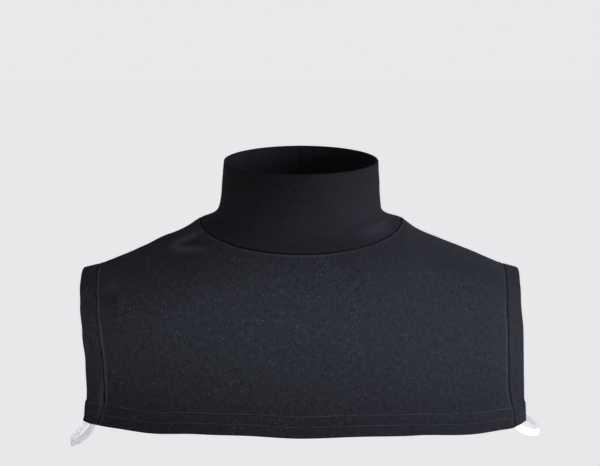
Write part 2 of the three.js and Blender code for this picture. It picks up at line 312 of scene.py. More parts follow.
    def hem_slide(self, x: Array, side: Side, raised: Array | float) -> Array:
        """Slide of the hem at a distance from the middle, raised by a height."""
        wave = read_table(self.hem_waves, x / self.bib_half) if side is Side.FRONT else 0.0
        return side.value * self.slide_at(self.ridge(x) + self.bib_fall * (1.0 + wave) - raised)

    def neck_spot(self, angle: Array, grow: float) -> tuple[Array, Array]:
        """Place of the neck seam: angle 0 is the right side neck point, a quarter turn the front.

        Args:
            angle: turn around the neck.
            grow: how far outside the seam the place lies.

        Returns:
            Distance from the middle, and slide.
        """
        x = (self.neck_half + grow) * np.cos(angle)
        sine = np.sin(angle)
        front = sine >= 0.0
        drop = np.where(front, self.neck_drop_front, self.neck_drop_back) + grow
        fall = self.ridge(x) + drop * np.abs(sine) ** self.neck_round
        return x, np.where(front, 1.0, -1.0) * self.slide_at(fall)

    def bib_edge(self) -> float:
        """Distance from the middle of the seam between the bib and an arm band."""
        return self.bib_half - self.band_width

    def girth(self, x: Array) -> Array:
        """Length of cloth from the middle to a distance from it, across the chest."""
        places = np.linspace(-self.bib_half, self.bib_half, 241)
        reach = reach_along(self.point(places, np.full(places.shape, self.girth_slide)))
        return np.interp(x, places, reach - reach[-1] / 2.0)


class Lines:
    """Lines that run along the cloth side by side, each measured along its own length."""

    def __init__(self, drape: Drape, x: Array, slide: Array) -> None:
        """Measure the lines.

        Args:
            drape: the surface that they lie on.
            x: distance from the middle, one row of samples for each line.
            slide: slide of the same samples.
        """
        self.reach = reach_along(drape.point(x, slide))
        self.x = x
        self.slide = slide

    def lengths(self) -> Array:
        """Length of each line."""
        return self.reach[:, -1]

    def at(self, distance: Array) -> tuple[Array, Array]:
        """Places on the lines, one row of distances from their start for each line."""
        x = [np.interp(d, r, v) for d, r, v in zip(distance, self.reach, self.x)]
        slide = [np.interp(d, r, v) for d, r, v in zip(distance, self.reach, self.slide)]
        return np.array(x), np.array(slide)


class SeamLine:
    """A sewn line, which cloth near it rolls down into."""

    def __init__(self, points: Array) -> None:
        """Keep the line's points and sort them for quick searches."""
        self.points = points
        self.tree = KDTree(len(points))
        for index, point in enumerate(points):
            self.tree.insert(point, index)
        self.tree.balance()

    def distance(self, places: Array) -> Array:
        """Distance of each place from the line."""
        flat = places.reshape(-1, 3)
        nearest = np.array([self.tree.find(place)[1] for place in flat])
        best = np.full(len(flat), np.inf)
        for start in (np.maximum(nearest - 1, 0), np.minimum(nearest, len(self.points) - 2)):
            run = self.points[start + 1] - self.points[start]
            spot = flat - self.points[start]
            share = np.clip((spot * run).sum(1) / np.maximum((run * run).sum(1), 1e-18), 0.0, 1.0)
            off = spot - share[:, None] * run
            best = np.minimum(best, np.linalg.norm(off, axis=1))
        return best.reshape(places.shape[:-1])


@dataclass(frozen=True)
class Roll:
    """How cloth turns down into a seam; its middle stands off the seam by half its thickness."""

    radius: float = 0.00045
    depth: float = 0.0014
    stand_off: float = 0.00055
    shade_share: float = 0.7  # share of the radius over which the cloth gets painted shade

    def drop(self, distance: Array) -> Array:
        """How far the cloth lies below its level at a distance from the seam."""
        short = np.clip(1.0 - (distance - self.stand_off) / self.radius, 0.0, 1.0)
        return self.depth * (1.0 - np.sqrt(1.0 - short**2))

    def painted_shade(self, distance: Array) -> Array:
        """Painted shade of the cloth at a distance from the seam, from 0 to 1."""
        return smoothstep(distance, self.stand_off + self.shade_share * self.radius, self.stand_off)


@dataclass(frozen=True)
class Turn:
    """A fold of cloth back under itself, round a half circle at its edge."""

    radius: float
    outermost: float

    def bend(self) -> float:
        """Length of cloth from the edge of the fold to where it lies flat."""
        return self.radius * math.pi / 2.0

    def spot(self, along: Array, proud: Array | float) -> tuple[Array, Array]:
        """Place of cloth that runs round the fold.

        Args:
            along: length of cloth from the fold's edge, negative on the side turned under.
            proud: height above the middle of the cloth, on the side that shows.

        Returns:
            Distance from the fold's edge, and height above the middle of the upper cloth.
        """
        bend = self.bend()
        angle = np.clip(math.pi / 2.0 - along / self.radius, 0.0, math.pi)
        past = np.maximum(np.abs(along) - bend, 0.0)
        distance = self.outermost - (self.radius + proud) * np.sin(angle) + past
        height = (self.radius + proud) * np.cos(angle) - self.radius
        return distance, height


@dataclass(frozen=True)
class Ripples:
    """Faint unevenness of cloth: waves given by length, heading, phase and share of height."""

    height: float
    waves: tuple[tuple[float, float, float, float], ...] = (
        (0.031, 0.3, 0.4, 0.34), (0.023, 1.9, 2.1, 0.26), (0.0131, 1.1, 4.0, 0.18),
        (0.0083, 2.6, 1.3, 0.12), (0.0057, 0.7, 5.2, 0.10),
    )

    def at(self, across: Array, along: Array) -> Array:
        """Height at a place on the cloth."""
        total = np.zeros(np.broadcast(across, along).shape)
        for length, heading, phase, share in self.waves:
            run = across * math.cos(heading) + along * math.sin(heading)
            total += share * np.sin(run * 2.0 * math.pi / length + phase)
        return total * self.height


def mapped_sheet(
    name: str, places: Array, grain: Array, joined: bool = False, painted_shade: Array | float = 0.0
) -> bpy.types.Object:
    """A sheet of cloth made from a grid whose points are moved to their places.

    Args:
        name: name of the piece.
        places: point for each column and row of the grid.
        grain: place on the flat cloth for the same points.
        joined: whether the last column meets the first.
        painted_shade: painted shade at the same points, below 0 a painted highlight.

    Returns:
        The piece, one layer of faces without thickness.
    """
    columns, rows = places.shape[0] - 1, places.shape[1] - 1
    build = bmesh.new()
    layer = build.loops.layers.uv.new(GRAIN)
    shade_weight = build.verts.layers.float.new(PAINTED_SHADE)
    shaded = np.broadcast_to(painted_shade, places.shape[:2])
    bmesh.ops.create_grid(build, x_segments=columns, y_segments=rows, size=0.5)
    build.verts.index_update()
    spots = [
        (round((vert.co.x + 0.5) * columns), round((vert.co.y + 0.5) * rows))
        for vert in build.verts
    ]
    for face in build.faces:
        face.smooth = True
        for loop in face.loops:
            loop[layer].uv = grain[spots[loop.vert.index]]
    for vert, spot in zip(build.verts, spots):
        vert.co = places[spot]
        vert[shade_weight] = shaded[spot]
    if joined:
        bmesh.ops.remove_doubles(build, verts=build.verts, dist=1e-6)
    return finished(name, build)


def finished(name: str, build: bmesh.types.BMesh) -> bpy.types.Object:
    """An object at the origin from a finished mesh, which is freed."""
    mesh = bpy.data.meshes.new(name)
    build.to_mesh(mesh)
    build.free()
    piece = bpy.data.objects.new(name, mesh)
    bpy.context.scene.collection.objects.link(piece)
    return piece


def thicken(piece: bpy.types.Object, thickness: float) -> None:
    """Give a sheet its thickness, half to each side."""
    wall = piece.modifiers.new("Cloth thickness", "SOLIDIFY")
    wall.thickness = thickness
    wall.offset = 0.0
    wall.use_even_offset = False
    wall.use_quality_normals = True


@dataclass(frozen=True)
class Thread:
    """A sewing thread: one stitch of it is a short arched strand."""

    radius: float = 0.00027
    length: float = 0.0020
    arch: float = 0.00026
    sides: int = 6
    cuts: int = 5
    # Past these shares of half the length, a stitch starts to dive and is out of the light
    dive: tuple[float, float] = (0.4, 0.85)
    slimming: float = 0.45  # share of its thickness that a stitch loses at its ends

    def strand(self) -> bpy.types.Mesh:
        """Mesh of one stitch, which lies along X with +Z off the cloth."""
        build = bmesh.new()
        turn = Matrix.Rotation(math.pi / 2.0, 4, "Y")
        bmesh.ops.create_cone(
            build, cap_ends=True, segments=self.sides, radius1=self.radius, radius2=self.radius,
            depth=self.length, matrix=turn,
        )
        half = self.length / 2.0
        lengthwise = [
            edge for edge in build.edges
            if abs(edge.verts[0].co.x - edge.verts[1].co.x) > half
        ]
        bmesh.ops.subdivide_edges(build, edges=lengthwise, cuts=self.cuts, use_grid_fill=True)
        for vert in build.verts:
            share = vert.co.x / half
            slim = 1.0 - self.slimming * share**4
            vert.co.y *= slim
            vert.co.z = vert.co.z * slim - self.arch * 2.0 * share**4
        for face in build.faces:
            face.smooth = True
        mesh = bpy.data.meshes.new("strand")
        build.to_mesh(mesh)
        build.free()
        return mesh

    def sew(self, name: str, rows: list[tuple[Array, Array]], pitch: float) -> bpy.types.Object:
        """Rows of stitches as one piece.

        Args:
            name: name of the piece.
            rows: for each row the points it runs through and the directions off the cloth.
            pitch: distance from one stitch to the next.

        Returns:
            The piece.
        """
        strand = self.strand()
        ends = np.array([abs(vert.co.x) * 2.0 / self.length for vert in strand.vertices])
        # painted shade on the ends of each stitch, where it dives into the cloth
        shaded = smoothstep(ends, *self.dive)
        build = bmesh.new()
        shade_weight = build.verts.layers.float.new(PAINTED_SHADE)
        for points, normals in rows:
            for place in self.spots(points, normals, pitch):
                start = len(build.verts)
                build.from_mesh(strand)
                build.verts.ensure_lookup_table()
                bmesh.ops.transform(build, matrix=place, verts=build.verts[start:])
                for vert, value in zip(build.verts[start:], shaded):
                    vert[shade_weight] = value
        bpy.data.meshes.remove(strand)
        return finished(name, build)

    def spots(self, points: Array, normals: Array, pitch: float) -> list[Matrix]:
        """Place of each stitch along a row."""
        reach = reach_along(points)
        count = max(1, int(reach[-1] / pitch))
        middles = (np.arange(count) + 0.5) * reach[-1] / count

        def read(values: Array, along: float) -> Vector:
            """Value at a length along the row."""
            return Vector([np.interp(along, reach, values[:, axis]) for axis in range(3)])

        places = []
        for middle in middles:
            run = read(points, middle + pitch / 3) - read(points, middle - pitch / 3)
            run.normalize()
            aside = read(normals, middle).cross(run).normalized()
            turned = Matrix((run, aside, run.cross(aside))).transposed().to_4x4()
            places.append(Matrix.Translation(read(points, middle)) @ turned)
        return places


class Nodes:
    """A node tree under construction."""

    def __init__(self, tree: bpy.types.NodeTree) -> None:
        """Keep the tree."""
        self.tree = tree

    def node(self, kind: str, **settings: object) -> bpy.types.Node:
        """Add a node and set its properties."""
        node = self.tree.nodes.new(kind)
        for label, value in settings.items():
            setattr(node, label, value)
        return node

    def feed(self, socket: bpy.types.NodeSocket, value: object) -> None:
        """Link a socket to another one, or set its constant."""
        if isinstance(value, bpy.types.NodeSocket):
            self.tree.links.new(value, socket)
        else:
            socket.default_value = value

    def filled(self, kind: str, values: dict[str, object], **settings: object) -> bpy.types.Node:
        """Add a node, set its properties and feed its named inputs."""
        node = self.node(kind, **settings)
        for label, value in values.items():
            self.feed(node.inputs[label], value)
        return node

    def math(self, operation: str, *values: object) -> bpy.types.NodeSocket:
        """Result of a math node on sockets and numbers."""
        node = self.node("ShaderNodeMath", operation=operation)
        for index, value in enumerate(values):
            self.feed(node.inputs[index], value)
        return node.outputs[0]

    def mix(self, share: object, low: object, high: object) -> bpy.types.NodeSocket:
        """Colour between two colours."""
        values = {"Factor": share, "A": low, "B": high}
        return self.filled("ShaderNodeMix", values, data_type="RGBA").outputs["Result"]

    def bump(self, height: bpy.types.NodeSocket, **values: object) -> bpy.types.NodeSocket:
        """Normal of a bump node over a height."""
        return self.filled("ShaderNodeBump", {"Height": height, **values}).outputs["Normal"]


class Group(Nodes):
    """A shader node group under construction."""

    def __init__(
        self, name: str, inputs: dict[str, float | None], outputs: tuple[str, ...]
    ) -> None:
        """Make the group and its sockets.

        Args:
            name: name of the group.
            inputs: default of each input, or None for a vector.
            outputs: names of the values it puts out.
        """
        super().__init__(bpy.data.node_groups.new(name, "ShaderNodeTree"))
        for label, default in inputs.items():
            kind = "NodeSocketVector" if default is None else "NodeSocketFloat"
            socket = self.tree.interface.new_socket(name=label, in_out="INPUT", socket_type=kind)
            if default is not None:
                socket.default_value = default
        for label in outputs:
            self.tree.interface.new_socket(
                name=label, in_out="OUTPUT", socket_type="NodeSocketFloat"
            )
        self.entry = self.node("NodeGroupInput").outputs
        self.exit = self.node("NodeGroupOutput").inputs

    def noise(self, vector: object, scale: object, detail: float) -> bpy.types.NodeSocket:
        """Value of a noise texture."""
        values = {"Vector": vector, "Scale": scale, "Detail": detail}
        return self.filled("ShaderNodeTexNoise", values).outputs["Fac"]

    def ramp(self, value: object, low: object, high: object) -> bpy.types.NodeSocket:
        """Smooth ramp of a value from 0 at low to 1 at high."""
        values = {"Value": value, "From Min": low, "From Max": high}
        node = self.filled("ShaderNodeMapRange", values, interpolation_type="SMOOTHSTEP")
        return node.outputs["Result"]

    def put(self, **results: bpy.types.NodeSocket) -> bpy.types.NodeTree:
        """Link the results to the group's outputs and return the group."""
        for label, socket in results.items():
            self.feed(self.exit[label], socket)
        return self.tree


def jersey_knit() -> bpy.types.NodeTree:
    """Group for the face of plain jersey: wales of small slanted legs."""
    group = Group("jersey_knit", {"Grain": None, "Wale": 0.0008, "Course": 0.0007}, ("Height",))
    split = group.filled("ShaderNodeSeparateXYZ", {"Vector": group.entry["Grain"]})
    across = group.math("DIVIDE", split.outputs["X"], group.entry["Wale"])
    side = group.math("MULTIPLY", group.math("PINGPONG", across, 0.5), 2.0)
    off = group.math("SUBTRACT", side, 0.5)
    leg = group.math("SUBTRACT", 1.0, group.math("MULTIPLY", group.math("MULTIPLY", off, off), 4.0))
    course = group.math("DIVIDE", split.outputs["Y"], group.entry["Course"])
    slant = group.math("ADD", course, group.math("MULTIPLY", side, 0.5))
    loop = group.math("MULTIPLY", group.math("PINGPONG", slant, 0.5), 2.0)
    height = group.math("MULTIPLY", leg, group.math("MULTIPLY_ADD", loop, 0.45, 0.55))
    return group.put(Height=height)


def cloth_bloom() -> bpy.types.NodeTree:
    """Group for the unevenness of worn dark cloth: mottling, streaked wales, fuzz and lint."""
    inputs = {
        "Grain": None, "Cloud": 260.0, "Fuzz": 900.0, "Lint": 620.0, "Patch": 45.0, "Amount": 0.5,
        "Stretch": 0.3,
    }
    group = Group("cloth_bloom", inputs, ("Mottle", "Fuzz", "Lint"))
    grain = group.entry["Grain"]
    split = group.filled("ShaderNodeSeparateXYZ", {"Vector": grain}).outputs
    stretched = group.math("MULTIPLY", split["Y"], group.entry["Stretch"])
    drawn = group.filled(
        "ShaderNodeCombineXYZ", {"X": split["X"], "Y": stretched, "Z": split["Z"]}
    )
    cloud = group.noise(grain, group.entry["Cloud"], 4.0)
    fuzz = group.noise(grain, group.entry["Fuzz"], 3.0)
    streak = group.noise(drawn.outputs[0], group.entry["Fuzz"], 1.0)
    blend = group.math("MULTIPLY_ADD", streak, 0.28, group.math("MULTIPLY", cloud, 0.26))
    mottle = group.ramp(group.math("MULTIPLY_ADD", fuzz, 0.46, blend), 0.36, 0.64)
    # Lint shows where its noise passes a floor, which a second noise lowers in patches
    speck = group.noise(grain, group.entry["Lint"], 2.0)
    patch = group.noise(grain, group.entry["Patch"], 1.0)
    plain = group.math("MULTIPLY_ADD", patch, -0.3, 0.971)
    floor = group.math("SUBTRACT", plain, group.math("MULTIPLY", group.entry["Amount"], 0.2))
    lint = group.ramp(speck, floor, group.math("ADD", floor, 0.03))
    return group.put(Mottle=mottle, Fuzz=fuzz, Lint=lint)


class Looks:
    """Node groups that the finishes share, each built once."""

    def __init__(self) -> None:
        """Build the groups."""
        self.knit = jersey_knit()
        self.bloom = cloth_bloom()


class Bench(Nodes):
    """Node tree of one material, with its Principled shader."""

    def __init__(self, name: str) -> None:
        """Make the material."""
        self.material = bpy.data.materials.new(name)
        self.material.use_nodes = True
        super().__init__(self.material.node_tree)
        self.shader = self.tree.nodes["Principled BSDF"]

    def grain(self) -> bpy.types.NodeSocket:
        """Place on the flat cloth, from the piece's own map."""
        return self.node("ShaderNodeUVMap", uv_map=GRAIN).outputs["UV"]

    def spot(self) -> bpy.types.NodeSocket:
        """Place on the object."""
        return self.node("ShaderNodeTexCoord").outputs["Object"]

    def painted_shade(self) -> bpy.types.NodeSocket:
        """Painted shade, below 0 a painted highlight, from the piece's own attribute."""
        return self.node("ShaderNodeAttribute", attribute_name=PAINTED_SHADE).outputs["Fac"]

    def place(
        self, group: bpy.types.NodeTree, vector: bpy.types.NodeSocket, **values: float
    ) -> bpy.types.bpy_prop_collection:
        """Outputs of a group that reads the cloth's grain, with its own values."""
        values = {"Grain": vector, **values}
        return self.filled("ShaderNodeGroup", values, node_tree=group).outputs

    def set(self, **values: object) -> None:
        """Set or link the shader's own sockets; underscores stand for spaces."""
        for label, value in values.items():
            self.feed(self.shader.inputs[label.replace("_", " ")], value)


Colour = tuple[float, float, float, float]


@dataclass(frozen=True)
class JerseyFinish:
    """Black cotton jersey: fine wales, soft mottling, a little lint and a dull sheen."""

    name: str
    dark: Colour = (0.0042, 0.0043, 0.0051, 1.0)
    light: Colour = (0.0117, 0.0119, 0.0137, 1.0)
    lint: Colour = (0.038, 0.039, 0.044, 1.0)
    # painted shade in seams, stitch furrows and the hollows of folds
    shaded: Colour = (0.0012, 0.0012, 0.0014, 1.0)
    # painted highlight on fold crests, beside seams and on spots of the collar
    raised: Colour = (0.0230, 0.0234, 0.0265, 1.0)
    wale: float = 0.00075
    course: float = 0.0006
    knit_depth: float = 0.00012
    fuzz_depth: float = 0.00025
    roughness: tuple[float, float] = (0.78, 0.96)
    lint_amount: float = 0.62
    sheen: float = 0.015
    sheen_tint: Colour = (0.62, 0.65, 0.75, 1.0)

    def make(self, looks: Looks) -> bpy.types.Material:
        """Build the material."""
        bench = Bench(self.name)
        grain = bench.grain()
        knit = bench.place(looks.knit, grain, Wale=self.wale, Course=self.course)
        bloom = bench.place(looks.bloom, grain, Amount=self.lint_amount)
        cloth = bench.mix(bloom["Mottle"], self.dark, self.light)
        flecked = bench.mix(bloom["Lint"], cloth, self.lint)
        # Below 0 the attribute paints highlights, above 0 it paints shade
        painted_shade = bench.painted_shade()
        shown = bench.mix(bench.math("MULTIPLY", painted_shade, -1.0), flecked, self.raised)
        low, high = self.roughness
        rough = {"Value": bloom["Fuzz"], "To Min": low, "To Max": high}
        fuzz = bench.bump(bloom["Fuzz"], Strength=0.5, Distance=self.fuzz_depth)
        weave = bench.bump(knit["Height"], Strength=0.7, Distance=self.knit_depth, Normal=fuzz)
        bench.set(
            Base_Color=bench.mix(painted_shade, shown, self.shaded),
            Roughness=bench.filled("ShaderNodeMapRange", rough).outputs["Result"],
            Normal=weave, Specular_IOR_Level=0.03, Sheen_Weight=self.sheen,
            Sheen_Roughness=0.5, Sheen_Tint=self.sheen_tint,
        )
        return bench.material


@dataclass(frozen=True)
class ThreadFinish:
    """Black sewing thread, a little shinier than the cloth."""

    name: str
    colour: Colour = (0.015, 0.015, 0.0175, 1.0)
    light: Colour = (0.029, 0.029, 0.033, 1.0)
    # painted shade on the ends of the stitches, where they dive into the cloth
    shaded: Colour = (0.002, 0.002, 0.0024, 1.0)

    def make(self, looks: Looks) -> bpy.types.Material:
        """Build the material."""
        bench = Bench(self.name)
        bloom = bench.place(looks.bloom, bench.spot(), Cloud=700.0, Fuzz=2400.0, Amount=0.0)
        colour = bench.mix(bloom["Mottle"], self.colour, self.light)
        bench.set(
            Base_Color=bench.mix(bench.painted_shade(), colour, self.shaded),
            Normal=bench.bump(bloom["Fuzz"], Distance=0.0001),
            Roughness=0.6, Specular_IOR_Level=0.15,
        )
        return bench.material


@dataclass(frozen=True)
class ElasticFinish:
    """Clear milky elastic with fine ribs along its length."""

    name: str
    colour: Colour = (0.74, 0.745, 0.76, 1.0)
    milky: Colour = (0.80, 0.805, 0.82, 1.0)

    def make(self, looks: Looks) -> bpy.types.Material:
        """Build the material."""
        bench = Bench(self.name)
        grain = bench.grain()
        bloom = bench.place(looks.bloom, grain, Cloud=180.0, Fuzz=900.0, Amount=0.0)
        ribs = bench.place(looks.knit, grain, Wale=0.0007, Course=0.02)
        bench.set(
            Base_Color=bench.mix(bloom["Mottle"], self.colour, self.milky),
            Normal=bench.bump(ribs["Height"], Strength=0.4, Distance=0.0002),
            Roughness=0.9, Transmission_Weight=0.6, IOR=1.12, Specular_IOR_Level=0.2,
        )
        return bench.material


@dataclass(frozen=True)
class FloorFinish:
    """Plain pale studio floor."""

    name: str
    low: Colour = (0.588, 0.586, 0.6, 1.0)
    high: Colour = (0.6, 0.6, 0.612, 1.0)
    glow: float = 0.632
    glow_colour: Colour = (1.0, 0.995, 1.01, 1.0)

    def make(self, looks: Looks) -> bpy.types.Material:
        """Build the material."""
        bench = Bench(self.name)
        bloom = bench.place(looks.bloom, bench.spot(), Cloud=0.4, Fuzz=3.0, Amount=0.0)
        bench.set(
            Base_Color=bench.mix(bloom["Mottle"], self.low, self.high), Roughness=1.0,
            Specular_IOR_Level=0.0, Emission_Color=self.glow_colour, Emission_Strength=self.glow,
        )
        return bench.material


@dataclass
class Seams:
    """The sewn lines of the bib."""

    drape: Drape
    neck: SeamLine = field(init=False)
    shoulders: dict[Hand, SeamLine] = field(init=False)
    bands: dict[Hand, SeamLine] = field(init=False)

    def __post_init__(self) -> None:
        """Trace the lines."""
        angle = np.linspace(0.0, 2.0 * math.pi, 721)
        self.neck = SeamLine(self.drape.point(*self.drape.neck_spot(angle, 0.0)))
        self.shoulders = {}
        self.bands = {}
        edge = self.drape.bib_edge()
        for hand in Hand:
            x = hand.value * np.linspace(self.drape.neck_half, edge, 121)
            self.shoulders[hand] = SeamLine(self.drape.point(x, np.zeros(x.shape)))
            low = self.drape.hem_slide(np.array(hand.value * edge), Side.FRONT, 0.0)
            high = self.drape.hem_slide(np.array(hand.value * edge), Side.BACK, 0.0)
            slide = np.linspace(low, high, 481)
            self.bands[hand] = SeamLine(
                self.drape.point(np.full(slide.shape, hand.value * edge), slide)
            )


@dataclass
class Panel:
    """Front or back panel: one layer of jersey with its hem turned up inside."""

    side: Side
    drape: Drape
    seams: Seams
    layer: float = 0.0009
    roll: Roll = Roll()
    band_roll: Roll = Roll(depth=0.0008)
    edge_shine: float = 0.4
    # Painted highlights beside the seams, of strength edge_shine: distance from the seam, and width
    neck_edge: tuple[float, float] = (0.0016, 0.0006)
    band_edge: tuple[float, float] = (0.0017, 0.0009)
    # The cloth puffs up beside a seam, over a ramp of distances from it
    puff: tuple[float, float] = (0.003, 0.001)
    neck_puff: float = 0.0002
    band_puff: float = 0.00045
    hem_puff: float = 0.0002
    hem_ramp: float = 0.002
    # Furrow of the stitches beside a band: distance from the seam, and width
    band_furrow: tuple[float, float] = (0.0018, 0.0004)
    band_furrow_depth: float = 0.0001
    # strength of the painted shade where the bib turns into a band's seam
    band_shade: float = 0.35
    hem_furrow_width: float = 0.0005
    hem_furrow_depth: float = 0.00025
    # strength of the painted shade in the hem's stitch furrows
    hem_shade: float = 0.3
    hem_depth: float = 0.016
    hem_rows: tuple[float, float] = (0.0080, 0.0155)
    # Lengths with closer rows, up from the hem and down from the top edge
    near_hem: float = 0.022
    near_top: float = 0.010
    slack: float = 0.00003  # half the air between the two layers of the hem
    shoulder_share: float = 8.0 / 44.0
    pitch: float = 0.0017
    fine: float = 0.00018
    samples: int = 96
    pucker: Ripples = Ripples(0.00022)
    # Distances over which the puckers fade, from a seam and from the hem's lower stitches
    seam_pucker: float = 0.005
    hem_pucker: float = 0.006
    sway: Ripples = Ripples(0.00012)

    def turn(self) -> Turn:
        """The fold at the hem."""
        radius = self.layer / 2.0 + self.slack
        return Turn(radius, radius + self.layer / 2.0)

    def top(self, u: Array) -> tuple[Array, Array]:
        """Top edge, from one shoulder tip over the neck seam to the other.

        Args:
            u: share of the way from the left of the picture to the right.

        Returns:
            Distance from the middle, and slide.
        """
        shoulder = self.shoulder_share
        gap = self.roll.stand_off
        seam = 2.0 * gap / (self.drape.edge_depth * math.pi)
        from_tip = np.clip(np.minimum(u, 1.0 - u) / shoulder, 0.0, 1.0)
        edge = self.drape.bib_edge() - gap
        x = edge + (self.drape.neck_half + gap - edge) * from_tip
        share = np.clip((u - shoulder) / (1.0 - 2.0 * shoulder), 0.0, 1.0)
        angle = self.side.value * math.pi * (1.0 - share)
        neck_x, neck_slide = self.drape.neck_spot(angle, gap)
        on_shoulder = from_tip < 1.0
        place = np.where(on_shoulder, np.where(u < 0.5, -x, x), neck_x)
        slide = np.where(on_shoulder, seam, np.maximum(np.abs(neck_slide), seam))
        return place, self.side.value * slide

    def columns(self) -> Array:
        """Shares across the panel where its columns lie."""
        width = 2.0 * self.drape.bib_edge()
        corner = self.shoulder_share * width
        half = stations(width / 2.0, (0.0, corner), self.fine, self.pitch)
        half[np.argmin(np.abs(half - corner))] = corner
        return np.concatenate([half, width - half[-2::-1]]) / width

    def rows(self, lengths: Array) -> Array:
        """Length of cloth from the hem's edge to each row, for each column."""
        turn = self.turn()
        under = self.hem_depth - turn.outermost + turn.bend()
        inside = -stations(under, (0.0, under), self.fine, self.pitch)[:0:-1]
        low, high = self.near_hem, self.near_top
        features = (0.0, *self.hem_rows, self.hem_depth)
        near_hem = stations(low, features, self.fine, self.pitch)
        near_top = high - stations(high, (0.0,), self.fine / 1.5, self.pitch)[::-1]
        count = int((lengths.max() - low - high) / self.pitch)
        middle = np.linspace(0.0, 1.0, count)[1:-1]
        flat = turn.bend() - turn.outermost
        rest = (lengths + flat - low - high)[:, None]
        return np.concatenate(
            [
                np.tile(inside, (len(lengths), 1)),
                np.tile(near_hem, (len(lengths), 1)),
                low + middle[None, :] * rest,
                low + rest + near_top[None, :],
            ],
            axis=1,
        )

    def relief(
        self, places: Array, height: Array, distance: Array, grain: Array
    ) -> tuple[Array, Array]:
        """The cloth's own relief: rolls into the seams, stitch furrows, ripples; and its painted
        shade.

        Args:
            places: points of the draped surface.
            height: height of the cloth above its level, below 0 where it is turned up inside.
            distance: distance from the hem's edge.
            grain: place on the flat cloth.

        Returns:
            Height of the middle of the cloth above the draped surface, and its painted shade.
        """
        level = -self.layer / 2.0 + height
        to_neck = self.seams.neck.distance(places)
        level += self.neck_puff * smoothstep(to_neck, *self.puff) - self.roll.drop(to_neck)
        near = to_neck
        # painted shade where the cloth turns into the neck seam, a painted highlight just beside it
        painted_shade = self.roll.painted_shade(to_neck) - self.edge_shine * bump_at(to_neck, *self.neck_edge)
        for hand in Hand:
            to_shoulder = self.seams.shoulders[hand].distance(places)
            to_band = self.seams.bands[hand].distance(places)
            level -= np.maximum(self.roll.drop(to_shoulder), self.band_roll.drop(to_band))
            level += self.band_puff * smoothstep(to_band, *self.puff)
            level -= self.band_furrow_depth * bump_at(to_band, *self.band_furrow)
            near = np.minimum(near, np.minimum(to_shoulder, to_band))
            # painted shade in the shoulder and band seams, a painted highlight beside the band
            shaded = self.band_shade * self.band_roll.painted_shade(to_band)
            painted_shade += np.maximum(self.roll.painted_shade(to_shoulder), shaded)
            painted_shade -= self.edge_shine * bump_at(to_band, *self.band_edge)
        low, high = self.hem_rows
        shown = height > -self.turn().radius
        for row in self.hem_rows:
            furrow = shown * bump_at(distance, row, self.hem_furrow_width)
            level -= self.hem_furrow_depth * furrow
            # painted shade in the stitch furrows
            painted_shade += self.hem_shade * furrow
        puffed = smoothstep(distance, low, low + self.hem_ramp)
        puffed = puffed * smoothstep(distance, high, high - self.hem_ramp)
        level += shown * self.hem_puff * puffed
        across, along = grain[..., 0], grain[..., 1]
        level += self.pucker.at(across, along) * np.exp(-near / self.seam_pucker)
        from_row = np.abs(distance - low)
        level += self.pucker.at(along, across) * np.exp(-from_row / self.hem_pucker)
        # painted shade in the folds' hollows, painted highlight on their crests
        return level + self.sway.at(across, along), painted_shade + self.drape.fold_painted_shade(places)

    def build(self) -> bpy.types.Object:
        """Model the panel."""
        share = self.columns()
        u = share if self.side is Side.FRONT else 1.0 - share
        hem_x = (self.drape.bib_edge() - self.roll.stand_off) * (2.0 * u - 1.0)
        top_x, top_slide = self.top(u)
        low = self.drape.hem_slide(hem_x, self.side, 0.0)
        t = np.linspace(0.0, 1.0, self.samples)
        lines = Lines(
            self.drape,
            hem_x[:, None] + (top_x - hem_x)[:, None] * t,
            low[:, None] + (top_slide - low)[:, None] * t,
        )
        along = self.rows(lines.lengths())
        distance, height = self.turn().spot(along, 0.0)
        x, slide = lines.at(distance)
        grain = np.stack([self.drape.girth(x), along], axis=-1)
        places = self.drape.point(x, slide)
        level, painted_shade = self.relief(places, height, distance, grain)
        name = f"{self.side.name.lower()}_panel_cloth"
        piece = mapped_sheet(name, self.drape.skin(x, slide, level), grain, painted_shade=painted_shade)
        thicken(piece, self.layer)
        return piece


